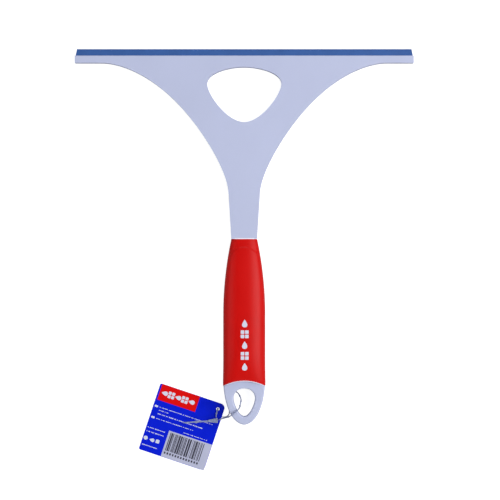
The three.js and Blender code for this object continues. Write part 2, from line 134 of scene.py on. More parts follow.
def flat_shape(name: str, outline: Sequence[Point], height: float = 0.0) -> Object:
    """Makes a one-face sheet with a given outline.

    Args:
        name: The new piece's name.
        outline: Its corners in X and Y, anticlockwise, in millimetres.
        height: Its place in Z, in millimetres.

    Returns:
        The new piece.
    """
    bpy.ops.object.select_all(action="DESELECT")
    bpy.ops.mesh.primitive_circle_add(vertices=len(outline), radius=MM, fill_type="NGON")
    piece = bpy.context.active_object
    piece.name = name
    for corner, (x, y) in zip(piece.data.vertices, outline):
        corner.co = Vector((x, y, height)) * MM
    return piece


def thicken(piece: Object, by: Vector) -> None:
    """Extrudes a flat piece into a solid along a vector in millimetres."""
    with editing(piece):
        bpy.ops.mesh.select_all(action="SELECT")
        bpy.ops.mesh.extrude_region_move(TRANSFORM_OT_translate={"value": by * MM})
        bpy.ops.mesh.select_all(action="SELECT")
        bpy.ops.mesh.normals_make_consistent(inside=False)


def turned_up(piece: Object, turn: Matrix) -> None:
    """Turns a piece's mesh in place, leaving its object unturned."""
    piece.data.transform(turn)
    piece.data.update()


def apply_modifier(piece: Object, kind: str, **settings: object) -> None:
    """Adds a modifier with its settings and applies it at once."""
    only(piece)
    modifier = piece.modifiers.new(kind.lower(), kind)
    for setting, value in settings.items():
        setattr(modifier, setting, value)
    bpy.ops.object.modifier_apply(modifier=modifier.name)


def carve(piece: Object, tool: Object) -> None:
    """Cuts a tool out of a piece and throws the tool away."""
    apply_modifier(piece, "BOOLEAN", operation="DIFFERENCE", solver="EXACT", object=tool)
    bpy.data.objects.remove(tool)


def slice_at(piece: Object, places: Sequence[float], axis: Vector) -> None:
    """Cuts edges across a piece at places along an axis, so that it can bend there."""
    with editing(piece):
        for place in places:
            bpy.ops.mesh.select_all(action="SELECT")
            bpy.ops.mesh.bisect(plane_co=axis * (place * MM), plane_no=axis)


def keep_between(piece: Object, low: float, high: float, axis: Vector) -> None:
    """Cuts away all of a flat piece outside two places along an axis."""
    with editing(piece):
        for place, spare in ((low, "clear_inner"), (high, "clear_outer")):
            bpy.ops.mesh.select_all(action="SELECT")
            bpy.ops.mesh.bisect(plane_co=axis * (place * MM), plane_no=axis, **{spare: True})


def move_points(piece: Object, rule: Callable[[Vector], Vector]) -> None:
    """Moves every point of a piece by a rule from old place to new, both in millimetres."""
    for point in piece.data.vertices:
        point.co = rule(point.co / MM) * MM
    piece.data.update()


def weighted_bevel(
    piece: Object, radius: Callable[[Vector, Vector], float], segments: int
) -> None:
    """Rounds edges by a radius that may differ from edge to edge.

    Args:
        piece: The piece to round.
        radius: Takes an edge's two ends in millimetres and returns its radius, or 0.
        segments: How many faces make up each rounding.
    """
    points = [point.co / MM for point in piece.data.vertices]
    radii = [radius(points[e.vertices[0]], points[e.vertices[1]]) for e in piece.data.edges]
    most = max(radii)
    weights = piece.data.attributes.new("bevel_weight_edge", "FLOAT", "EDGE")
    for weight, one in zip(weights.data, radii):
        weight.value = one / most
    apply_modifier(
        piece, "BEVEL", limit_method="WEIGHT", width=most * MM, segments=segments, profile=0.5
    )
    left = piece.data.attributes.get("bevel_weight_edge")
    if left:
        piece.data.attributes.remove(left)


def hold_flats(piece: Object) -> None:
    """Insets broad level faces a little, so that their shading stays flat up to the edge."""
    with editing(piece):
        pick(piece, Part.FACE, lambda f: abs(f.normal.z) > LEVEL and f.calc_area() > BROAD_AREA)
        bpy.ops.mesh.inset(thickness=FLAT_HOLD * MM, depth=0.0, use_boundary=True)


def tidy(piece: Object, angle: float = 30.0) -> Object:
    """Merges doubles, turns faces outwards and smooths all but the sharp edges."""
    with editing(piece):
        bpy.ops.mesh.select_all(action="SELECT")
        bpy.ops.mesh.remove_doubles(threshold=0.000002)
        bpy.ops.mesh.normals_make_consistent(inside=False)
    only(piece)
    bpy.ops.object.shade_smooth_by_angle(angle=math.radians(angle))
    return piece


def joined(name: str, pieces: Sequence[Object]) -> Object:
    """Joins meshes into the first one and names it."""
    only(pieces[0])
    for piece in pieces:
        piece.select_set(True)
    bpy.ops.object.join()
    pieces[0].name = name
    return pieces[0]


def on_middle(a: Vector, b: Vector) -> bool:
    """Whether an edge lies where two mirrored halves meet."""
    return abs(a.x) < MIDDLE_PLANE and abs(b.x) < MIDDLE_PLANE


def mirrored_half(piece: Object) -> None:
    """Opens a half's flat side at X = 0 and mirrors it into a whole."""
    with editing(piece):
        pick(piece, Part.FACE, lambda f: all(abs(v.co.x) < 1e-7 for v in f.verts))
        bpy.ops.mesh.delete(type="FACE")
    apply_modifier(piece, "MIRROR", use_clip=True, merge_threshold=0.000005)


def dress(piece: Object, finish: Material, body: Body) -> None:
    """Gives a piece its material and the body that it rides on."""
    piece.data.materials.clear()
    piece.data.materials.append(finish)
    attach(piece, body.value)
    LOG.info("%s: %d faces", piece.name, len(piece.data.polygons))


# ---------------------------------------------------------------- lines and outlines


def bezier(start: Point, leave: Point, arrive: Point, end: Point, steps: int = 18) -> list[Point]:
    """Points along a cubic curve, with both ends."""
    line = []
    for i in range(steps + 1):
        t = i / steps
        weights = ((1 - t) ** 3, 3 * t * (1 - t) ** 2, 3 * t * t * (1 - t), t**3)
        line.append(
            tuple(
                sum(w * p[k] for w, p in zip(weights, (start, leave, arrive, end)))
                for k in (0, 1)
            )
        )
    return line


def blend_between(low: float, high: float, value: float) -> float:
    """A smooth step from 0 at low to 1 at high."""
    t = min(max((value - low) / (high - low), 0.0), 1.0)
    return t * t * (3 - 2 * t)


def height_on(line: Sequence[Point], y: float) -> float:
    """The height of a side line, given as points in Y and Z, at one Y."""
    if y <= line[0][0]:
        return line[0][1]
    for (y0, z0), (y1, z1) in zip(line, line[1:]):
        if y <= y1:
            return z0 + (z1 - z0) * (y - y0) / (y1 - y0) if y1 > y0 else z1
    return line[-1][1]


def opening_side(
    top: float, half_width: float, shoulder: float, length: float, reach: float, foot: float
) -> list[Point]:
    """The right side of a rounded opening, from its top down to its foot.

    Args:
        top: The Y of the opening's highest point.
        half_width: Half of its greatest width.
        shoulder: How far below its top it is widest.
        length: How tall it is.
        reach: How far the top runs out level before it turns down.
        foot: How far the foot runs out level before it turns up.

    Returns:
        The side's points, in X and Y.
    """
    shoulder_y, foot_y = top - shoulder, top - length
    upper = bezier(
        (0, top),
        (reach, top),
        (half_width, top - 0.38 * shoulder),
        (half_width, shoulder_y),
    )
    lower = bezier(
        (half_width, shoulder_y),
        (half_width, shoulder_y - 0.29 * (shoulder_y - foot_y)),
        (foot, foot_y),
        (0, foot_y),
    )
    return upper + lower[1:]


# ---------------------------------------------------------------- finishes


class SharedGroups:
    """Shader node groups that more than one finish uses, each built once."""

    COARSE_SCALE = 0.31
    COARSE_WEIGHT = 0.6
    PATCH_TINT = 3.0
    PATCH_ROUGHNESS = 1.5

    _made: dict[str, NodeTree] = {}

    @classmethod
    def grain(cls) -> NodeTree:
        """Fine moulded grain with slow patches.

        Returns:
            A group that puts out a tint from -1 to 1, a roughness offset and a height.
        """
        if "surface_grain" in cls._made:
            return cls._made["surface_grain"]
        tree = bpy.data.node_groups.new("surface_grain", "ShaderNodeTree")
        sockets = (
            ("Vector", "INPUT", "NodeSocketVector"),
            ("Grain Scale", "INPUT", "NodeSocketFloat"),
            ("Patch Scale", "INPUT", "NodeSocketFloat"),
            ("Patch Height", "INPUT", "NodeSocketFloat"),
            ("Tint", "OUTPUT", "NodeSocketFloat"),
            ("Roughness", "OUTPUT", "NodeSocketFloat"),
            ("Height", "OUTPUT", "NodeSocketFloat"),
        )
        for name, way, kind in sockets:
            tree.interface.new_socket(name=name, in_out=way, socket_type=kind)
        entry, leave = tree.nodes.new("NodeGroupInput"), tree.nodes.new("NodeGroupOutput")
        fine, coarse, patch = (tree.nodes.new("ShaderNodeTexNoise") for _ in range(3))
        for noise, detail in ((fine, 2.0), (coarse, 3.0), (patch, 4.0)):
            noise.inputs["Detail"].default_value = detail
            tree.links.new(entry.outputs["Vector"], noise.inputs["Vector"])
        broader = cls._math(tree, "MULTIPLY", entry.outputs["Grain Scale"], cls.COARSE_SCALE)
        tree.links.new(entry.outputs["Grain Scale"], fine.inputs["Scale"])
        tree.links.new(broader, coarse.inputs["Scale"])
        tree.links.new(entry.outputs["Patch Scale"], patch.inputs["Scale"])
        fine_level, coarse_level, patch_level = (
            cls._math(tree, "SUBTRACT", noise.outputs["Fac"], 0.5)
            for noise in (fine, coarse, patch)
        )
        grain = cls._math(tree, "MULTIPLY_ADD", coarse_level, cls.COARSE_WEIGHT, fine_level)
        tint = cls._math(tree, "MULTIPLY_ADD", patch_level, cls.PATCH_TINT, grain)
        rough = cls._math(tree, "MULTIPLY_ADD", patch_level, cls.PATCH_ROUGHNESS, fine_level)
        lifted = cls._math(tree, "MULTIPLY_ADD", patch_level, entry.outputs["Patch Height"], grain)
        tree.links.new(tint, leave.inputs["Tint"])
        tree.links.new(rough, leave.inputs["Roughness"])
        tree.links.new(lifted, leave.inputs["Height"])
        cls._made["surface_grain"] = tree
        return tree

    @staticmethod
    def _math(
        tree: NodeTree, operation: str, first: NodeSocket, second: object, third: object = None
    ) -> NodeSocket:
        """Adds a math node; an input is a socket or a number."""
        node = tree.nodes.new("ShaderNodeMath")
        node.operation = operation
        for slot, value in enumerate((first, second, third)):
            if isinstance(value, NodeSocket):
                tree.links.new(value, node.inputs[slot])
            elif value is not None:
                node.inputs[slot].default_value = value
        return node.outputs[0]


@dataclass(frozen=True)
class Finish:
    """A moulded, printed or rubbery surface with its own grain.

    Attributes:
        name: The material's name.
        colour: The linear colour in the middle of its range.
        spread: How far the colour moves with the patches, as a share of itself.
        roughness: The middle roughness.
        rough_spread: How far the roughness moves.
        grain_size: The width of one grain in millimetres.
        grain_height: The height of the grain in millimetres.
        patch_size: The width of the slow patches in millimetres.
        patch_height: The height of the patches, in grain heights.
        stretch: How much longer than wide the patches are, along Y.
        specular: The specular level of the shader.
        transmission: The share of light that passes through.
        scatter: The share of light that scatters inside.
    """

    name: str
    colour: Colour
    spread: float = 0.04
    roughness: float = 0.4
    rough_spread: float = 0.08
    grain_size: float = 0.4
    grain_height: float = 0.01
    patch_size: float = 30.0
    patch_height: float = 1.0
    stretch: float = 1.0
    specular: float = 0.5
    transmission: float = 0.0
    scatter: float = 0.0

    def material(self) -> Material:
        """Builds the material.

        Returns:
            The new material.
        """
        material = bpy.data.materials.new(self.name)
        material.use_nodes = True
        tree = material.node_tree
        shader = tree.nodes["Principled BSDF"]
        for socket, value in (
            ("Specular IOR Level", self.specular), ("Transmission Weight", self.transmission),
            ("Subsurface Weight", self.scatter), ("Subsurface Radius", SCATTER_RADIUS),
            ("Subsurface Scale", 1.0),
        ):
            shader.inputs[socket].default_value = value
        place = tree.nodes.new("ShaderNodeTexCoord")
        mapping = tree.nodes.new("ShaderNodeMapping")
        mapping.inputs["Scale"].default_value = (1.0, 1.0 / self.stretch, 1.0)
        tree.links.new(place.outputs["Object"], mapping.inputs["Vector"])
        grain = tree.nodes.new("ShaderNodeGroup")
        grain.node_tree = SharedGroups.grain()
        grain.inputs["Grain Scale"].default_value = 1 / (self.grain_size * MM)
        grain.inputs["Patch Scale"].default_value = 1 / (self.patch_size * MM)
        grain.inputs["Patch Height"].default_value = self.patch_height
        tree.links.new(mapping.outputs["Vector"], grain.inputs["Vector"])
        tree.links.new(self._colour(tree, grain.outputs["Tint"]), shader.inputs["Base Color"])
        spread = self._ranged(tree, grain.outputs["Roughness"], self.roughness, self.rough_spread)
        tree.links.new(spread, shader.inputs["Roughness"])
        bump = tree.nodes.new("ShaderNodeBump")
        bump.inputs["Strength"].default_value = 1.0
        bump.inputs["Distance"].default_value = self.grain_height * MM
        tree.links.new(grain.outputs["Height"], bump.inputs["Height"])
        tree.links.new(bump.outputs["Normal"], shader.inputs["Normal"])
        return material

    def _colour(self, tree: NodeTree, tint: NodeSocket) -> NodeSocket:
        """The base colour, moved between a darker and a lighter shade by the tint."""
        ramp = tree.nodes.new("ShaderNodeMix")
        ramp.data_type = "RGBA"
        ramp.inputs["A"].default_value = (*(c * (1 - self.spread) for c in self.colour), 1)
        ramp.inputs["B"].default_value = (*(c * (1 + self.spread) for c in self.colour), 1)
        tree.links.new(self._ranged(tree, tint, 0.5, 0.5), ramp.inputs["Factor"])
        return ramp.outputs["Result"]

    @staticmethod
    def _ranged(tree: NodeTree, value: NodeSocket, middle: float, spread: float) -> NodeSocket:
        """Scales a value from -1..1 to a range round a middle."""
        node = tree.nodes.new("ShaderNodeMath")
        node.operation = "MULTIPLY_ADD"
        node.use_clamp = True
        tree.links.new(value, node.inputs[0])
        node.inputs[1].default_value = spread
        node.inputs[2].default_value = middle
        return node.outputs[0]


PALE_PLASTIC = Finish(
    name="pale_moulded_plastic",
    colour=(0.47, 0.51, 0.70),
    spread=0.035,
    roughness=0.42,
    grain_size=0.35,
    grain_height=0.006,
    patch_size=45,
    stretch=1.6,
    scatter=0.05,
)
BLUE_RUBBER = Finish(
    name="blue_blade_rubber",
    colour=(0.031, 0.102, 0.33),
    spread=0.1,
    roughness=0.5,
    grain_size=0.25,
    grain_height=0.008,
    patch_size=12,
    specular=0.35,
)
# A lighter copy of the pale plastic, used on the seams at the grip's ends as a painted highlight.
PAINTED_HIGHLIGHT_EDGE = Finish(
    name="pale_edge_painted_highlight", colour=(0.80, 0.80, 0.92), spread=0.02, roughness=0.35, grain_size=0.35,
    grain_height=0.004,
)
SOFT_GRIP = Finish(
    name="red_soft_grip",
    colour=(0.57, 0.0025, 0.0015),
    spread=0.06,
    roughness=0.4,
    rough_spread=0.08,
    grain_size=0.5,
    grain_height=0.012,
    patch_size=16,
    patch_height=2.0,
    specular=0.155,
)
CARD_BLUE = Finish(
    name="printed_card",
    colour=(0.001, 0.012, 0.60),
    spread=0.06,
    roughness=0.34,
    grain_size=0.3,
    grain_height=0.004,
    patch_size=9,
    specular=0.14,
)
INK_WHITE = Finish(
    name="white_print", colour=(0.62, 0.65, 0.78), spread=0.03, roughness=0.4,
    grain_size=0.3, grain_height=0.004,
)
INK_RED = replace(
    INK_WHITE, name="red_print", colour=(0.66, 0.003, 0.003), spread=0.04, roughness=0.34,
    specular=0.14,
)
INK_GREY = replace(INK_WHITE, name="pale_print", colour=(0.44, 0.46, 0.62), roughness=0.42)
INK_DARK = replace(INK_WHITE, name="dark_print", colour=(0.03, 0.03, 0.05), spread=0.1)
CLEAR_STRAP = Finish(
    name="clear_strap",
    colour=(0.35, 0.40, 0.60),
    spread=0.05,
    roughness=0.28,
    grain_size=0.3,
    grain_height=0.006,
    patch_size=3,
    transmission=0.4,
)
STUDIO_PAPER = Finish(
    name="studio_paper", colour=(0.45, 0.45, 0.45), spread=0.01, roughness=0.7, grain_size=1.5,
    grain_height=0.01, patch_size=200, specular=0.2,
)


# ---------------------------------------------------------------- studio


@dataclass
class Studio:
    """Pale floor, soft lights and a camera straight above the front face.

    Attributes:
        room_low: A height in the sky and how strongly the room glows there.
        room_high: The same for a height near the zenith.
        lamps: Each soft box's name, place and size in metres, and power in watts.
    """

    centre: Point = (4.75, -11.2)
    view_width: float = 413.3
    lens: float = 135.0
    sensor: float = 36.0
    view_height: float = 6.0
    roll: float = 0.0
    floor_size: float = 5000.0
    table_glow: float = 0.88
    room_low: Point = (0.05, 0.35)
    room_high: Point = (0.9, 0.04)
    lamps: tuple[tuple[str, Colour, Point, float], ...] = (
        ("key", (1.5, 0.13, 1.7), (1.3, 1.82), 45.0),
        ("fill", (-1.35, 0.0, 1.2), (0.9, 1.4), 6.2),
        ("head_light", (0.1, 1.5, 1.1), (1.6, 0.7), 8.6),
        ("foot_light", (0.1, -1.5, 1.1), (1.6, 0.7), 8.2),
    )

    def camera(self) -> None:
        """Hangs the camera above the squeegee, looking straight down."""
        data = bpy.data.cameras.new("camera")
        data.lens, data.sensor_width = self.lens, self.sensor
        data.clip_start, data.clip_end = 0.05, 20.0
        camera = bpy.data.objects.new("camera", data)
        bpy.context.collection.objects.link(camera)
        distance = self.view_width * self.lens / self.sensor
        camera.location = Vector((*self.centre, distance + self.view_height)) * MM
        camera.rotation_euler = (0.0, 0.0, math.radians(self.roll))
        bpy.context.scene.camera = camera

    def floor(self) -> None:
        """Lays a pale lit table top just under the lowest point."""
        bpy.ops.object.select_all(action="DESELECT")
        bpy.ops.mesh.primitive_grid_add(
            x_subdivisions=4, y_subdivisions=4, size=self.floor_size * MM, location=(0, 0, 0)
        )
        floor = bpy.context.active_object
        floor.name = "floor"
        move_points(floor, lambda p: Vector((p.x, p.y, -0.2)))
        paper = STUDIO_PAPER.material()
        tree = paper.node_tree
        shader = tree.nodes["Principled BSDF"]
        shader.inputs["Emission Color"].default_value = (1, 1, 1, 1)
        rays = tree.nodes.new("ShaderNodeLightPath")
        glow = tree.nodes.new("ShaderNodeMath")
        glow.operation = "MULTIPLY"
        glow.inputs[1].default_value = self.table_glow
        tree.links.new(rays.outputs["Is Camera Ray"], glow.inputs[0])
        tree.links.new(glow.outputs[0], shader.inputs["Emission Strength"])
        floor.data.materials.append(paper)

    def lamp(self, name: str, place: Vector, size: Point, power: float) -> None:
        """Adds a soft box that faces the middle of the squeegee.

        Args:
            name: The lamp's name.
            place: Where it stands, in metres.
            size: Its width and height in metres.
            power: Its power in watts.
        """
        data = bpy.data.lights.new(name, "AREA")
        data.shape, data.size, data.size_y = "RECTANGLE", *size
        data.energy = power
        lamp = bpy.data.objects.new(name, data)
        bpy.context.collection.objects.link(lamp)
        lamp.location = place
        lamp.rotation_euler = (Vector((0, 0, 0)) - place).to_track_quat("-Z", "Y").to_euler()

    def lights(self) -> None:
        """Sets the soft boxes and the dim room round them."""
        world = bpy.data.worlds.new("room")
        world.use_nodes = True
        tree = world.node_tree
        place = tree.nodes.new("ShaderNodeTexCoord")
        split = tree.nodes.new("ShaderNodeSeparateXYZ")
        fade = tree.nodes.new("ShaderNodeMapRange")
        for end, (height, strength) in (("Min", self.room_low), ("Max", self.room_high)):
            fade.inputs[f"From {end}"].default_value = height
            fade.inputs[f"To {end}"].default_value = strength
        tree.links.new(place.outputs["Generated"], split.inputs[0])
        tree.links.new(split.outputs["Z"], fade.inputs["Value"])
        tree.links.new(fade.outputs["Result"], tree.nodes["Background"].inputs["Strength"])
        tree.nodes["Background"].inputs["Color"].default_value = (1, 1, 1, 1)
        bpy.context.scene.world = world
        bpy.context.scene.view_settings.view_transform = "Standard"
        for name, stand, size, power in self.lamps:
            self.lamp(name, Vector(stand), size, power)


# ---------------------------------------------------------------- tie and lock


@dataclass
class TagTie:
    """The clear beaded tie, its wedge lock and the loose end."""

    tip_y: float = -155.0
    diameter: float = 0.9
    bead_diameter: float = 1.5
    bead_half_length: float = 0.75
    bead_places: tuple[float, ...] = (
        2.4, 13.4, 21.6, 29.4, 34.6, 39.8, 45.2, 50.4, 56.0, 84.0, 88.3,
    )
    step: float = 0.25
    lock_place: Point = (-22.0, 2.7)
    lock_turn: float = 184.0
    lock_length: float = 7.8
    lock_half_width: float = 2.1
    lock_tip_half_width: float = 0.9
    lock_foot: float = 2.1
    lock_thickness: float = 2.2
    loose_length: float = 21.4
    loose_half_width: float = 0.6
    loose_thickness: float = 0.9
    loose_point: float = 2.5
    bulge_place: float = 9.9
    bulge_half_width: float = 1.1
    route: tuple[tuple[float, float, float], ...] = (
        (-21.3, 3.1, 3.2), (-19.5, 3.9, 4.6), (-17.2, 4.7, 7.0), (-14.8, 5.7, 10.2),
        (-13.1, 6.4, 13.1), (-11.6, 7.3, 15.3), (-9.5, 8.9, 16.3), (-7.2, 10.9, 16.5),
        (-5.0, 12.7, 15.8), (-3.8, 14.5, 13.8), (-3.3, 16.6, 11.3), (-2.8, 18.6, 9.6),
        (-2.7, 20.6, 8.3), (-3.6, 23.0, 6.8), (-5.0, 25.2, 5.3), (-6.8, 26.5, 4.2),
        (-9.0, 26.7, 3.8), (-11.2, 25.3, 3.4), (-12.5, 22.4, 2.9), (-12.9, 19.0, 2.4),
        (-12.9, 15.6, 1.9), (-12.6, 12.4, 1.5), (-12.4, 9.8, 1.2), (-12.6, 7.8, 0.95),
        (-13.8, 6.2, 0.75), (-15.9, 5.3, 0.6), (-18.3, 5.3, 0.5), (-20.3, 6.4, 0.5),
        (-21.4, 8.2, 0.5), (-21.8, 10.1, 0.5), (-21.85, 11.6, 0.75), (-21.9, 12.35, 1.5),
        (-22.1, 12.0, 2.35), (-22.4, 11.0, 2.95), (-22.7, 9.7, 3.2), (-23.0, 8.2, 3.2),
        (-23.2, 6.7, 3.2), (-23.3, 5.3, 3.2),
    )

    def centreline(self) -> list[Vector]:
        """The smooth line through the route's points, in millimetres, close-set."""
        points = [Vector((x, y + self.tip_y, z)) for x, y, z in self.route]
        points = [2 * points[0] - points[1], *points, 2 * points[-1] - points[-2]]
        line: list[Vector] = []
        for a, b, c, d in zip(points, points[1:], points[2:], points[3:]):
            knots = [0.0]
            for near, far in ((a, b), (b, c), (c, d)):
                knots.append(knots[-1] + math.sqrt((far - near).length))
            steps = max(2, round((c - b).length / self.step))
            for i in range(steps):
                line.append(self._between((a, b, c, d), knots, i / steps))
        line.append(points[-2].copy())
        return line

    @staticmethod
    def _between(points: Sequence[Vector], knots: Sequence[float], share: float) -> Vector:
        """A point between the middle two of four, on a curve through all of them."""
        t = knots[1] + (knots[2] - knots[1]) * share
        level = list(points)
        for spans in (((0, 1), (1, 2), (2, 3)), ((0, 2), (1, 3)), ((1, 2),)):
            level = [
                near * ((knots[high] - t) / (knots[high] - knots[low]))
                + far * ((t - knots[low]) / (knots[high] - knots[low]))
                for (low, high), near, far in zip(spans, level, level[1:])
            ]
        return level[0]

    def strand(self) -> tuple[Object, list[Vector]]:
        """The round strand with its beads.

        Returns:
            The strand, and the line that it follows, in metres.
        """
        line = self.centreline()
        data = bpy.data.curves.new("tie_line", "CURVE")
        data.dimensions = "3D"
        data.bevel_depth = self.diameter / 2 * MM
        data.bevel_resolution = 3
        data.use_fill_caps = True
        spline = data.splines.new("POLY")
        spline.points.add(len(line) - 1)
        along = 0.0
        for i, place in enumerate(line):
            along += (place - line[i - 1]).length if i else 0.0
            spline.points[i].co = (*(place * MM), 1.0)
            spline.points[i].radius = self._swell(along)
        curve = bpy.data.objects.new("tag_strand", data)
        bpy.context.collection.objects.link(curve)
        only(curve)
        bpy.ops.object.convert(target="MESH")
        strand = bpy.context.active_object
        LOG.info("tie: %.1f mm long", along)
        return tidy(strand, 60), [place * MM for place in line]

    def _swell(self, along: float) -> float:
        """How many times thicker than the strand it is at a place along it."""
        bead = self.bead_diameter / self.diameter - 1
        near = min(abs(along - place) for place in self.bead_places)
        return 1 + bead * math.sqrt(max(0.0, 1 - (near / self.bead_half_length) ** 2))

    def lock(self) -> Object:
        """The wedge that grips the strand, with a round mouth."""
        length, wide, slim = self.lock_length, self.lock_half_width, self.lock_tip_half_width
        wedge = flat_shape(
            "lock_wedge", [(0, -wide), (length, -slim), (length, slim), (0, wide)], 0.0
        )
        thicken(wedge, Vector((0, 0, self.lock_thickness)))
        with editing(wedge):
            pick(wedge, Part.FACE, lambda f: f.normal.x < -0.9)
            bpy.ops.mesh.inset(thickness=0.45 * MM, depth=0.0)
            bpy.ops.mesh.inset(thickness=0.15 * MM, depth=-0.9 * MM)
            pick(wedge, Part.FACE, lambda f: f.normal.z > 0.9)
            bpy.ops.mesh.inset(thickness=0.5 * MM, depth=0.0)
            bpy.ops.mesh.inset(thickness=0.1 * MM, depth=-0.25 * MM)
            bpy.ops.mesh.select_all(action="SELECT")
            bpy.ops.mesh.bevel(offset=0.12 * MM, segments=2)
        return wedge

    def loose_end(self) -> Object:
        """The pointed strap that runs on past the lock, with its bulge."""
        slim, bulge = self.loose_half_width, self.bulge_half_width
        start, middle = self.lock_length - 1, self.lock_length + self.bulge_place
        end = self.lock_length + self.loose_length
        side = [(start, -slim), (middle - 2.2, -slim)]
        for i in range(9):
            swing = math.cos(math.pi * (i / 4 - 1))
            side.append((middle - 2.0 + i * 0.5, -slim - (bulge - slim) * (1 + swing) / 2))
        side += [(middle + 2.2, -slim), (end - self.loose_point, -slim), (end - 0.5, -0.16)]
        outline = [*side, (end, 0.0), *((x, -y) for x, y in reversed(side))]
        strap = flat_shape("loose_end", outline, (self.lock_thickness - self.loose_thickness) / 2)
        thicken(strap, Vector((0, 0, self.loose_thickness)))
        weighted_bevel(strap, lambda a, b: 0.14 if abs(a.z - b.z) < SAME_PLACE else 0.0, 2)
        return strap

    def build(self) -> None:
        finish = CLEAR_STRAP.material()
        strand, path = self.strand()
        lock = joined("tag_lock", [self.lock(), self.loose_end()])
        turn = Matrix.Rotation(math.radians(self.lock_turn), 4, "Z")
        place = Vector((self.lock_place[0], self.lock_place[1] + self.tip_y, self.lock_foot))
        turned_up(lock, Matrix.Translation(place * MM) @ turn)
        tidy(lock, 40)
        dress(strand, finish, Body.SQUEEGEE)
        dress(lock, finish, Body.SQUEEGEE)
        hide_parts("tag_tie")
        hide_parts("tie_lock")


# ---------------------------------------------------------------- moulded body


@dataclass
class MouldedBody:
    """The one-piece pale moulding from the blade bar to the hanging eye."""

    half_width: float = 140.0
    bar_top: float = 149.3
    bar_foot: float = 143.4
    bar_depth: float = 8.0
    mouth: float = -1.9
    mouth_half_width: float = 10.6
    mouth_half_depth: float = 5.5
    axis: float = 11.0
    edge_radius: float = 0.9
    neck_radius: float = 3.6
    neck_end: float = 14.0
    arm_start: float = 100.0
    end_radius: float = 0.8
    flange: float = 2.6
    pocket_depth: float = 3.9
    pocket_span: float = 96.0
    pocket_length: float = 66.0
    rib: float = 2.2
    first_rib: float = 33.3
    crown: float = -118.7
    shoulder: float = -123.1
    tip: float = -155.0
    tail_half_width: float = 17.1
    tail_middle: float = 10.5
    tail_root_half: float = 6.0
    tail_tip_half: float = 4.0
    tail_radius: float = 1.3
    core_half_width: float = 8.7
    core_half_depth: float = 3.6
    bead_foot: float = 145.2
    bead_top: float = 147.6
    bead_half: float = 2.2
    slot_half: float = 1.4
    strips: int = 34
    overrun: float = 20.0
    window: Opening = (140.0, 30.7, 13.5, 45.6, 13.2, 13.8)
    eye: Opening = (-125.0, 8.8, 8.5, 23.2, 5.3, 4.6)

    def face_line(self, start: float, leave: float, end: float) -> list[Point]:
        """One face of the head seen from the side, in Y and Z.

        Args:
            start: Its height at the neck's mouth.
            leave: The height that it sets off towards.
            end: Its height at the bar.

        Returns:
            The line's points, from the mouth to the bar's top.
        """
        curve = bezier((self.mouth, start), (24.3, leave), (76.6, end), (self.bar_foot, end), 60)
        return [*curve, (self.bar_top, end)]

    def head_outline(self, seam: float = 0.0) -> list[Point]:
        """The head's right half in plan, anticlockwise from the neck's mouth.

        Args:
            seam: The X of the side along the middle.

        Returns:
            The outline's corners.
        """
        neck = bezier((13.0, 36.0), (13.75, 47.8), (21.9, 65.5), (34.7, 84.5))
        arm = bezier((34.7, 84.5), (67.4, 133.0), (102.6, self.bar_foot), (118.0, self.bar_foot))
        outline = [
            (seam, self.mouth),
            (self.mouth_half_width, self.mouth),
            (11.8, 17.0),
            *neck,
            *arm[1:],
            (self.half_width, self.bar_foot),
            (self.half_width, self.bar_top),
            (seam, self.bar_top),
        ]
        window = opening_side(*self.window)
        return [*outline, (seam, window[0][1]), *window[1:-1], (seam, window[-1][1])]

    def edge_rounding(self, a: Vector, b: Vector) -> float:
        """How round the head's edge from a to b is: little at the bar, much at the neck."""
        if on_middle(a, b) or max(a.y, b.y) < self.mouth + SAME_PLACE:
            return 0.0
        if abs(a.z - b.z) > SAME_PLACE:
            return self.end_radius if a.x > self.half_width - SAME_PLACE else 0.0
        middle = (a + b) / 2
        neck = 1 - blend_between(self.neck_end, self.arm_start, middle.y)
        return self.edge_radius + (self.neck_radius - self.edge_radius) * neck

    def pockets(self) -> Object:
        """The right half's cores: hollows between the back's ribs."""
        cells = []
        step = (self.pocket_span - self.first_rib) / 3
        walls = [self.rib / 2, *(self.first_rib + i * step for i in range(3)), self.pocket_span]
        for i, (left, right) in enumerate(zip(walls, walls[1:])):
            near = left if i == 0 else left + self.rib / 2
            far = right if i == 3 else right - self.rib / 2
            cell = flat_shape(f"cell_{i}", self.head_outline(self.rib / 2 - self.flange), -1.0)
            with editing(cell):
                pick(cell, Part.FACE, lambda f: True)
                bpy.ops.mesh.inset(thickness=self.flange * MM, depth=0.0)
                bpy.ops.mesh.select_all(action="INVERT")
                bpy.ops.mesh.delete(type="FACE")
            top = self.bar_foot - self.flange
            keep_between(cell, near, far, X_AXIS)
            keep_between(cell, top - self.pocket_length, top, Y_AXIS)
            thicken(cell, Vector((0, 0, self.pocket_depth + 1.0)))
            deep = self.pocket_depth * MM
            with editing(cell):
                pick(
                    cell,
                    Part.EDGE,
                    lambda e, deep=deep: all(abs(v.co.z - deep) < 1e-6 for v in e.verts),
                )
                bpy.ops.mesh.bevel(offset=0.6 * MM, segments=2)
            cells.append(cell)
        return joined("pocket_cores", cells)

    def blade_slot(self) -> Object:
        """The keyed slot that holds the blade, along the whole bar."""
        half, neck, middle = self.bead_half, self.slot_half, self.bar_depth / 2
        low, high = self.bead_foot, self.bead_top
        outline = [
            (low, -half + 0.5), (low + 0.5, -half), (high - 0.3, -half), (high, -half + 0.3),
            (high, -neck), (self.bar_top + 3, -neck), (self.bar_top + 3, neck), (high, neck),
            (high, half - 0.3), (high - 0.3, half), (low + 0.5, half), (low, half - 0.5),
        ]
        slot = flat_shape("slot_core", outline, -self.half_width - self.overrun)
        thicken(slot, Vector((0, 0, 2 * (self.half_width + self.overrun))))
        move_points(slot, lambda p: Vector((p.z, p.x, p.y + middle)))
        return slot

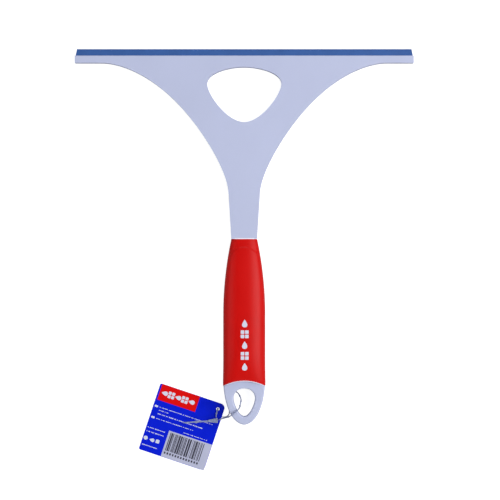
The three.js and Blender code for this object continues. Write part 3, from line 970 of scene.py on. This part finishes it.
    def head(self) -> Object:
        """The blade bar, arms and neck in one, with window, pockets, ribs and slot."""
        head = flat_shape("head", self.head_outline())
        thicken(head, Vector((0, 0, self.bar_depth)))
        weighted_bevel(head, self.edge_rounding, 5)
        carve(head, self.pockets())
        carve(head, self.blade_slot())
        mirrored_half(head)
        hold_flats(head)
        span = self.bar_foot - self.mouth
        slice_at(head, [self.mouth + span * i / self.strips for i in range(1, self.strips)], Y_AXIS)
        front = self.face_line(self.axis + self.mouth_half_depth, 13.3, self.bar_depth)
        back = self.face_line(self.axis - self.mouth_half_depth, 2.9, 0.0)
        middle = self.bar_depth * 0.55

        def follow(p: Vector) -> Vector:
            """Moves the upper half with the front line and the lower half with the back line."""
            if p.z > middle:
                return Vector((p.x, p.y, p.z + height_on(front, p.y) - self.bar_depth))
            return Vector((p.x, p.y, p.z + height_on(back, p.y)))

        move_points(head, follow)
        return head

    def core(self) -> Object:
        """The core that joins the neck to the tail inside the grip."""
        profile = GripSleeve()
        stations = [(y, self.core_half_width, self.core_half_depth) for y in (1.5, self.mouth)]
        for i in range(1, 19):
            y = self.mouth + (self.crown - 3 - self.mouth) * i / 18
            stations.append((y, *profile.bore_size(y, 0.0)))
        return swept_ring("core", profile.ring(32), stations, self.axis, True)

    def tail_outline(self) -> list[Point]:
        """The tail's right half in plan, anticlockwise from its tip, round the eye's half."""
        side = bezier(
            (0.0, self.tip), (5.4, self.tip), (self.tail_half_width - 2.0, self.shoulder - 25.0),
            (self.tail_half_width, self.shoulder), 26,
        )
        rise = self.crown - self.shoulder
        radius = (self.tail_half_width**2 + rise**2) / (2 * rise)
        arc = []
        for i in range(1, 13):
            x = self.tail_half_width * (12 - i) / 12
            arc.append((x, self.crown - radius + math.sqrt(radius**2 - x * x)))
        return [*side, *arc, *opening_side(*self.eye)]

    def tail(self) -> Object:
        """The flat tail with its hanging eye."""
        tail = flat_shape("tail", self.tail_outline(), -self.tail_tip_half)
        thicken(tail, Vector((0, 0, 2 * self.tail_tip_half)))

        def rounding(a: Vector, b: Vector) -> float:
            """Rounds the rims of the tail and its eye."""
            flat = abs(a.z - b.z) < SAME_PLACE and not on_middle(a, b)
            return self.tail_radius if flat else 0.0

        weighted_bevel(tail, rounding, 5)
        mirrored_half(tail)
        hold_flats(tail)

        def taper(p: Vector) -> Vector:
            """Thins the tail evenly from its crown to its tip."""
            share = (self.crown - p.y) / (self.crown - self.tip)
            more = (self.tail_root_half - self.tail_tip_half) * (1 - share)
            return Vector((p.x, p.y, self.tail_middle + p.z + math.copysign(more, p.z)))

        move_points(tail, taper)
        return tail

    def build(self) -> None:
        """Makes the whole moulding."""
        body = joined("moulded_body", [self.head(), self.core(), self.tail()])
        tidy(body, 32)
        dress(body, PALE_PLASTIC.material(), Body.SQUEEGEE)
        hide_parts("body_moulding")


def swept_ring(
    name: str,
    ring: Sequence[Point],
    stations: Sequence[tuple[float, float, float]],
    axis: float,
    capped: bool,
) -> Object:
    """Extrudes a ring along Y, scaling it at every station.

    Args:
        name: The new piece's name.
        ring: The section in X and Z, one unit in half width and half depth.
        stations: The Y, half width and half depth of each ring.
        axis: The height of the ring's middle.
        capped: Whether both ends are closed with a face.

    Returns:
        The new piece.
    """
    bpy.ops.object.select_all(action="DESELECT")
    bpy.ops.mesh.primitive_circle_add(vertices=len(ring), radius=MM, fill_type="NOTHING")
    piece = bpy.context.active_object
    piece.name = name
    y, width, depth = stations[0]
    for corner, (x, z) in zip(piece.data.vertices, ring):
        corner.co = Vector((x * width, y, axis + z * depth)) * MM
    with editing(piece):
        bpy.ops.mesh.select_all(action="SELECT")
        for next_y, next_width, next_depth in stations[1:]:
            bpy.ops.mesh.extrude_region_move(
                TRANSFORM_OT_translate={"value": (0.0, (next_y - y) * MM, 0.0)}
            )
            bpy.ops.transform.resize(
                value=(next_width / width, 1.0, next_depth / depth),
                center_override=(0.0, next_y * MM, axis * MM),
            )
            y, width, depth = next_y, next_width, next_depth
        pick(piece, Part.EDGE, lambda e: e.is_boundary)
        if capped:
            bpy.ops.mesh.edge_face_add()
        else:
            bpy.ops.mesh.bridge_edge_loops()
    return piece


# ---------------------------------------------------------------- grip


@dataclass
class GripSleeve:
    """The red soft sleeve: narrow at the mouth, full in the hand, with a stepped front."""

    top: float = -2.2
    mouth: float = -1.9
    end: float = -123.14
    crown: float = -118.7
    axis: float = 11.0
    flare_length: float = 62.0
    mouth_half_width: float = 10.6
    mouth_half_depth: float = 5.5
    half_width: float = 17.3
    end_flare: float = 0.25
    half_depth: float = 11.0
    end_half_depth: float = 8.6
    end_taper: float = 30.0
    taper_foot: float = -123.1
    power: float = 2.6
    sides: int = 96
    gap: float = 0.3
    arc_radius: float = 35.4
    arc_from: float = -92.0
    lip: float = 0.55
    step_height: float = 0.42
    step_top: float = -8.3
    step_drop: float = 6.2
    step_reach: float = 11.5
    step_fade: float = 34.0
    mouth_radius: float = 3.6
    seam: float = 0.6
    side_wall: float = 3.5
    mouth_side_wall: float = 1.9
    face_wall: float = 4.0
    mouth_face_wall: float = 1.9
    mark_size: Point = (42.0, 6.6)
    mark_place: Point = (0.4, -89.0)
    mark_height: float = 40.0
    ink: float = 0.12

    def flare(self, y: float) -> float:
        """How much of the narrowing towards the mouth there is at one Y, from 0 to 1."""
        return (1 - min(max((self.mouth - y) / self.flare_length, 0.0), 1.0)) ** 2

    def size(self, y: float) -> tuple[float, float]:
        """The outer half width and half depth at one Y."""
        flare = self.flare(y)
        taper = min(max((self.taper_foot + self.end_taper - y) / self.end_taper, 0.0), 1.0) ** 2
        widest = self.half_width + self.end_flare * blend_between(20.0, 0.0, y - self.end)
        width = widest - (self.half_width - self.mouth_half_width) * flare
        depth = self.half_depth - (self.half_depth - self.mouth_half_depth) * flare
        return width, depth - (self.half_depth - self.end_half_depth) * taper

    def bore_size(self, y: float, gap: float) -> tuple[float, float]:
        """The half width and half depth of the core, grown by a gap, at one Y."""
        flare = self.flare(y)
        width, depth = self.size(y)
        return (
            width - self.side_wall + (self.side_wall - self.mouth_side_wall) * flare + gap,
            depth - self.face_wall + (self.face_wall - self.mouth_face_wall) * flare + gap,
        )

    def ring(self, sides: int) -> list[Point]:
        """A squarish round section, one unit in half width and half depth."""
        points = []
        for i in range(sides):
            angle = 2 * math.pi * i / sides
            c, s = math.cos(angle), math.sin(angle)
            points.append(
                (
                    math.copysign(abs(c) ** (2 / self.power), c),
                    math.copysign(abs(s) ** (2 / self.power), s),
                )
            )
        return points

    def stations(self) -> list[tuple[float, float, float]]:
        """Every ring, down the outside and back up the bore."""
        places = [self.top, -3.2, -4.4, -5.6]
        places += [-6.4 - 0.45 * i for i in range(34)]
        places += [-22.0 - 3.0 * i for i in range(24)]
        places += [-93.5 - 2.2 * i for i in range(13)]
        outside = [(y, *self.size(y)) for y in places] + [(self.end, *self.size(self.end))]
        bore = [self.end + (self.top - self.end) * i / 16 for i in range(17)]
        return outside + [(y, *self.bore_size(y, self.gap)) for y in bore]

    def spread(self, p: Vector, width: float, depth: float) -> float:
        """How far out a point is on a section: 0 on the axis, 1 on the outside."""
        return (abs(p.x) / width) ** self.power + (abs(p.z - self.axis) / depth) ** self.power

    def lift(self, p: Vector) -> float:
        """How far the stepped front stands above the plain sleeve at a point."""
        width, depth = self.size(p.y)
        arch = self.step_top - self.step_drop * (p.x / self.step_reach) ** 2
        below = blend_between(0.0, 1.1, arch - p.y)
        fade = 1 - blend_between(6.0, self.step_fade, arch - p.y)
        face = blend_between(0.3, 0.75, abs(p.z - self.axis) / depth)
        return self.step_height * below * fade * face

    def shape(self, p: Vector) -> Vector:
        """Steps the faces and bends the lower end to the tail's arc."""
        if self.spread(p, *self.size(p.y)) > 0.8:
            p = Vector((p.x, p.y, p.z + math.copysign(self.lift(p), p.z - self.axis)))
        arc = self.crown + self.gap - self.arc_radius + math.sqrt(self.arc_radius**2 - p.x * p.x)
        share = min(max((self.arc_from - p.y) / (self.arc_from - self.end), 0.0), 1.0)
        return Vector((p.x, p.y + (arc - self.end) * share**1.5, p.z))

    def sleeve(self) -> Object:
        """The sleeve itself, with both lips rounded."""
        sleeve = swept_ring("soft_grip", self.ring(self.sides), self.stations(), self.axis, False)
        for y, radius in ((self.top, 0.3), (self.end, self.lip)):
            width, depth = self.size(y)

            def on_lip(edge: object, y: float = y, w: float = width, d: float = depth) -> bool:
                """Whether an edge lies on the outer rim at this end."""
                for corner in edge.verts:
                    p = corner.co / MM
                    if abs(p.y - y) > SAME_PLACE or self.spread(p, w, d) < 0.97:
                        return False
                return True

            with editing(sleeve):
                pick(sleeve, Part.EDGE, on_lip)
                bpy.ops.mesh.bevel(offset=radius * MM, segments=3)
        move_points(sleeve, self.shape)
        return tidy(sleeve, 50)

    def mark(self, sleeve: Object) -> Object:
        """A raised print down the front: panes of a window between drops."""
        shapes = pictogram_row("grip_mark", *self.mark_size)
        turn = Matrix.Rotation(math.radians(-90), 4, "Z")
        above = Vector((*self.mark_place, self.mark_height))
        turned_up(shapes, Matrix.Translation(above * MM) @ turn)
        slice_at(shapes, [-112.0 + i for i in range(46)], Y_AXIS)
        slice_at(shapes, [-5.0 + i for i in range(11)], X_AXIS)
        apply_modifier(
            shapes, "SHRINKWRAP", target=sleeve, wrap_method="PROJECT", use_project_z=True,
            use_positive_direction=False, use_negative_direction=True, offset=0.0,
        )
        apply_modifier(shapes, "SOLIDIFY", thickness=self.ink * MM, offset=0.2)
        return tidy(shapes, 40)

    def seams(self) -> Object:
        """Rings of pale plastic that the sleeve butts against at both ends, coloured lighter than
        the body as a painted highlight along the lips.
        """
        box = (2 * self.mouth_half_width + 0.12, 2 * self.mouth_half_depth + 0.2)
        outline = rounded_box((0.0, -self.axis), box, self.mouth_radius, 8)
        upper = flat_shape("upper_seam", outline)
        thicken(upper, Vector((0, 0, self.seam + self.mouth - self.top)))
        move_points(upper, lambda p: Vector((p.x, self.top + p.z, -p.y)))
        tidy(upper, 40)
        width, depth = self.size(self.end)
        inside, edge, foot = self.end + 0.3, self.end - self.seam / 2, self.end - self.seam
        stations = [
            (inside, width - 0.35, depth - 0.3),
            (edge, width - 0.35, depth - 0.3),
            (foot, width - 0.7, depth - 0.6),
            (foot, width - 3.0, depth - 3.4),
            (inside, width - 3.0, depth - 3.4),
        ]
        lower = swept_ring("lower_seam", self.ring(self.sides), stations, self.axis, False)
        move_points(lower, self.shape)
        tidy(lower, 40)
        return joined("grip_seams_painted_highlight", [upper, lower])

    def build(self) -> None:
        """Makes the sleeve, its seams in painted highlight and its printed mark."""
        sleeve = self.sleeve()
        mark = self.mark(sleeve)
        dress(sleeve, SOFT_GRIP.material(), Body.SQUEEGEE)
        dress(mark, INK_WHITE.material(), Body.SQUEEGEE)
        # The seams take the lighter copy of the pale plastic: a painted highlight.
        dress(self.seams(), PAINTED_HIGHLIGHT_EDGE.material(), Body.SQUEEGEE)
        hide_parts("grip_sleeve")


# ---------------------------------------------------------------- plain pictures


def drop_outline(centre: Point, size: float) -> list[Point]:
    """A water drop that points to the left, anticlockwise."""
    points = []
    for i in range(36):
        angle = math.pi + 2 * math.pi * (i + 0.5) / 36
        wide = math.sin(angle) * abs(math.cos(angle / 2)) ** 1.3
        points.append(
            (centre[0] + 0.56 * size * math.cos(angle), centre[1] + 0.52 * size * wide)
        )
    return points


def round_outline(centre: Point, radius: float, sides: int) -> list[Point]:
    """A circle with a few sides, anticlockwise."""
    turns = [2 * math.pi * i / sides for i in range(sides)]
    return [(centre[0] + radius * math.cos(a), centre[1] + radius * math.sin(a)) for a in turns]


def rounded_box(
    centre: Point, size: Point, radius: float | tuple[float, ...], steps: int = 3
) -> list[Point]:
    """A rectangle with round corners, anticlockwise.

    Args:
        centre: Its middle.
        size: Its width and height.
        radius: One radius, or one for each corner from the upper right one on.
        steps: How many edges make up each corner.

    Returns:
        The outline's corners.
    """
    radii = radius if isinstance(radius, tuple) else (radius,) * 4
    ways = ((1, 1), (-1, 1), (-1, -1), (1, -1))
    points = []
    for quarter, ((sx, sy), curve) in enumerate(zip(ways, radii)):
        for i in range(steps + 1):
            angle = math.radians(90 * (quarter + i / steps))
            points.append(
                (centre[0] + sx * (size[0] / 2 - curve) + curve * math.cos(angle),
                 centre[1] + sy * (size[1] / 2 - curve) + curve * math.sin(angle))
            )
    return points


def pictogram_row(name: str, length: float, height: float) -> Object:
    """A row of flat pictures along X: drop, window, drop, window, drop.

    Args:
        name: The new piece's name.
        length: How long the row is.
        height: How tall the windows are.

    Returns:
        The row, as flat faces in one piece.
    """
    pitch = (length - height) / 4
    shapes = []
    for i in range(5):
        middle = -length / 2 + height / 2 + i * pitch
        if i % 2 == 0:
            shapes.append(flat_shape("drop", drop_outline((middle, 0.0), height * 0.86)))
            continue
        pane = height * 0.44
        for sx in (-1, 1):
            for sy in (-1, 1):
                centre = (middle + sx * height * 0.27, sy * height * 0.27)
                outline = rounded_box(centre, (pane, pane), height * 0.06)
                shapes.append(flat_shape("pane", outline))
    return joined(name, shapes)


# ---------------------------------------------------------------- blade


@dataclass
class RubberBlade:
    """The blue blade: a keyed root in the bar and a thin square-cut edge."""

    half_length: float = 139.5
    end_trim: float = 1.1
    bead_foot: float = 145.5
    bead_top: float = 147.3
    bar_top: float = 149.3
    edge: float = 155.0
    middle: float = 4.0
    bead_half: float = 1.9
    neck_half: float = 1.1
    edge_half: float = 0.8
    ridge: float = 0.12

    def section(self) -> list[Point]:
        """The blade cut across, in Y and Z, with fine ridges near the bar and the edge."""
        low, high = self.bead_foot, self.bead_top
        upper = [
            (self.edge, self.edge_half - 0.16),
            (self.edge - 0.16, self.edge_half),
            (self.edge - 0.75, self.edge_half + 0.02),
            (self.edge - 0.85, self.edge_half + 0.02 - self.ridge),
            (self.edge - 1.05, self.edge_half + 0.03 - self.ridge),
            (self.edge - 1.15, self.edge_half + 0.04),
            (self.bar_top + 0.95, self.neck_half - 0.02),
            (self.bar_top + 0.85, self.neck_half + self.ridge),
            (self.bar_top + 0.25, self.neck_half + self.ridge),
            (self.bar_top + 0.15, self.neck_half),
            (high, self.neck_half),
            (high, self.bead_half - 0.25),
            (high - 0.25, self.bead_half),
            (low + 0.4, self.bead_half),
            (low, self.bead_half - 0.4),
        ]
        return upper + [(y, -z) for y, z in reversed(upper)]

    def build(self) -> None:
        """Makes the blade."""
        blade = flat_shape("blade_strip", self.section(), -self.half_length)
        thicken(blade, Vector((0, 0, 2 * self.half_length)))
        move_points(blade, lambda p: Vector((p.z, p.x, p.y + self.middle)))

        def slant(p: Vector) -> Vector:
            """Cuts the ends back towards the edge."""
            share = max(0.0, (p.y - self.bar_top) / (self.edge - self.bar_top))
            return Vector((math.copysign(self.half_length - self.end_trim * share, p.x), p.y, p.z))

        move_points(blade, slant)
        slice_at(blade, [-120.0 + 20 * i for i in range(13)], X_AXIS)
        tidy(blade, 25)
        dress(blade, BLUE_RUBBER.material(), Body.BLADE)
        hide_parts("rubber_blade")


# ---------------------------------------------------------------- tag


@dataclass
class HangTag:
    """The printed card, its hole round the tie, lying almost flat beside the tail."""

    width: float = 57.0
    height: float = 57.6
    thickness: float = 0.4
    outer_corner: float = 3.7
    inner_corner: float = 1.4
    hole_radius: float = 1.35
    hole: Point = (23.3, 23.6)
    hole_place: Point = (-21.9, -143.0)
    turn: float = -18.5
    lift: float = 1.4
    rest_lift: float = 0.15
    bend_reach: float = 11.0
    bend_end: float = 2.5
    curl_from: float = 2.2
    curl: float = 0.12
    ink: float = 0.03
    seed: int = 7

    def underside(self, u: float, v: float) -> float:
        """How high the card's underside is above the floor at a place on the card."""
        outwards = (u - self.hole[0] + v - self.hole[1]) / math.sqrt(2)
        rise = blend_between(-self.bend_reach, -self.bend_end, outwards)
        tip = max(0.0, outwards - self.curl_from)
        return self.rest_lift + (self.lift - self.rest_lift) * rise + self.curl * tip**2

    def hang(self, piece: Object) -> Object:
        """Moves a flat piece from the card's own plane to where the card lies."""
        angle = math.radians(self.turn)
        c, s = math.cos(angle), math.sin(angle)

        def place(p: Vector) -> Vector:
            """Turns a point about the hole and drops it onto the card's height."""
            du, dv = p.x - self.hole[0], p.y - self.hole[1]
            return Vector(
                (
                    self.hole_place[0] + du * c - dv * s,
                    self.hole_place[1] + du * s + dv * c,
                    self.underside(p.x, p.y) + self.thickness + p.z,
                )
            )

        move_points(piece, place)
        return piece

    def outline(self) -> list[Point]:
        """The card's outline: two rounder corners by the hole, two tight ones."""
        radii = (self.outer_corner, self.inner_corner, self.inner_corner, self.outer_corner)
        return rounded_box((0.0, 0.0), (self.width, self.height), radii, 6)

    def card(self) -> Object:
        """The card with its punched hole."""
        card = flat_shape("tag_card", self.outline(), -self.thickness)
        thicken(card, Vector((0, 0, self.thickness)))
        punch = flat_shape("punch", round_outline(self.hole, self.hole_radius, 32), -5.0)
        thicken(punch, Vector((0, 0, 10.0)))
        carve(card, punch)
        self.score(card)
        return tidy(self.hang(card), 40)

    def score(self, piece: Object) -> None:
        """Cuts a piece into a fine grid so that it can follow the card's bend."""
        slice_at(piece, [-26.0 + 2 * i for i in range(27)], X_AXIS)
        slice_at(piece, [-27.0 + 2 * i for i in range(28)], Y_AXIS)

    def printed(self, name: str, outlines: Sequence[Sequence[Point]], layer: int) -> Object:
        """Prints flat shapes on the card.

        Args:
            name: The new piece's name.
            outlines: The shapes, in the card's own plane.
            layer: How many layers of ink up the print lies.

        Returns:
            The print, lying on the card.
        """
        shapes = [flat_shape(name, outline, -0.02) for outline in outlines]
        sheet = joined(name, shapes) if len(shapes) > 1 else shapes[0]
        thicken(sheet, Vector((0, 0, self.ink * layer + 0.02)))
        self.score(sheet)
        return tidy(self.hang(sheet), 40)

    def spot(self, u: float, v: float) -> Point:
        """A place measured from the card's left and top edges."""
        return u - self.width / 2, self.height / 2 - v

    def strip(self, u0: float, u1: float, v: float, tall: float) -> list[Point]:
        """A plain bar between two places along a line of print."""
        (left, middle), (right, _) = self.spot(u0, v), self.spot(u1, v)
        low, high = middle - tall / 2, middle + tall / 2
        return [(left, low), (right, low), (right, high), (left, high)]

    def lines_of_print(self) -> list[list[Point]]:
        """Rows of plain dashes where small print would be."""
        dice = random.Random(self.seed)
        rows = (
            (5.4, 52.0, 19.1, 0.6), (5.8, 14.8, 21.7, 0.6), (5.8, 45.6, 24.7, 0.85),
            (5.8, 39.0, 28.8, 0.6), (31.0, 52.6, 33.0, 0.6), (1.2, 17.0, 37.6, 0.7),
            (1.4, 17.0, 41.0, 0.8), (1.2, 15.0, 52.6, 0.8),
        )
        dashes = []
        for start, end, v, tall in rows:
            at = start
            while at < end - 0.8:
                long = min(dice.choice((0.6, 0.8, 1.0, 1.4)), end - at)
                dashes.append(self.strip(at, at + long, v, tall * dice.choice((0.7, 0.85, 1.0))))
                at += long + dice.choice((0.25, 0.25, 0.3, 0.9))
        return dashes

    def small_pictures(self) -> list[list[Point]]:
        """Three small round, square and drop-shaped pictures, and two flat buttons."""
        return [
            round_outline(self.spot(2.6, 46.8), 1.7, 24),
            drop_outline(self.spot(8.0, 47.0), 3.9),
            rounded_box(self.spot(12.9, 46.8), (3.0, 3.0), 0.5),
            rounded_box(self.spot(2.7, 19.1), (3.0, 1.7), 0.8),
            rounded_box(self.spot(2.9, 28.7), (3.0, 1.7), 0.8),
        ]

    def bar_pattern(self) -> list[list[Point]]:
        """Upright bars of mixed widths with a row of short dashes under them."""
        dice = random.Random(self.seed + 1)
        bars = []
        at = 21.0
        while at < 51.4:
            wide = dice.choice((0.33, 0.66, 0.66, 1.3))
            at_end = min(at + wide, 51.6)
            middle = self.spot((at + at_end) / 2, 44.0)
            bars.append(rounded_box(middle, (at_end - at, 15.4), 0.05))
            at = at_end + dice.choice((0.33, 0.45, 0.9))
        for i in range(13):
            bars.append(self.strip(20.8 + 2.35 * i, 22.1 + 2.35 * i, 53.6, 1.8))
        return bars

    def build(self) -> None:
        """Makes the card and its print."""
        card = self.card()
        panel = self.printed("tag_panel", [self.strip(1.6, 34.6, 6.9, 13.6)], 1)
        code_box = self.printed("tag_code_box", [self.strip(19.2, 56.8, 46.2, 22.4)], 1)
        picture = pictogram_row("tag_picture", 29.0, 5.6)
        turned_up(picture, Matrix.Translation(Vector((*self.spot(17.6, 6.9), 0.0)) * MM))
        thicken(picture, Vector((0, 0, 2 * self.ink)))
        self.score(picture)
        tidy(self.hang(picture), 40)
        print_white = self.printed(
            "tag_small_print", self.lines_of_print() + self.small_pictures(), 1
        )
        bars = self.printed("tag_bars", self.bar_pattern(), 2)
        white = joined("tag_small_print", [print_white, picture])
        pieces = [
            (card, CARD_BLUE), (panel, INK_RED), (code_box, INK_GREY), (white, INK_WHITE),
            (bars, INK_DARK),
        ]
        for piece, finish in pieces:
            dress(piece, finish.material(), Body.TAG)
        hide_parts("hang_tag")


# ---------------------------------------------------------------- assembly


def main() -> None:
    """Builds the squeegee in order."""
    logging.basicConfig(level=logging.INFO, format="%(name)s: %(message)s")
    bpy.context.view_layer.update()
    studio = Studio()
    studio.camera()
    TagTie().build()
    MouldedBody().build()
    GripSleeve().build()
    RubberBlade().build()
    HangTag().build()
    studio.floor()
    studio.lights()


if __name__ == "__main__":
    main()
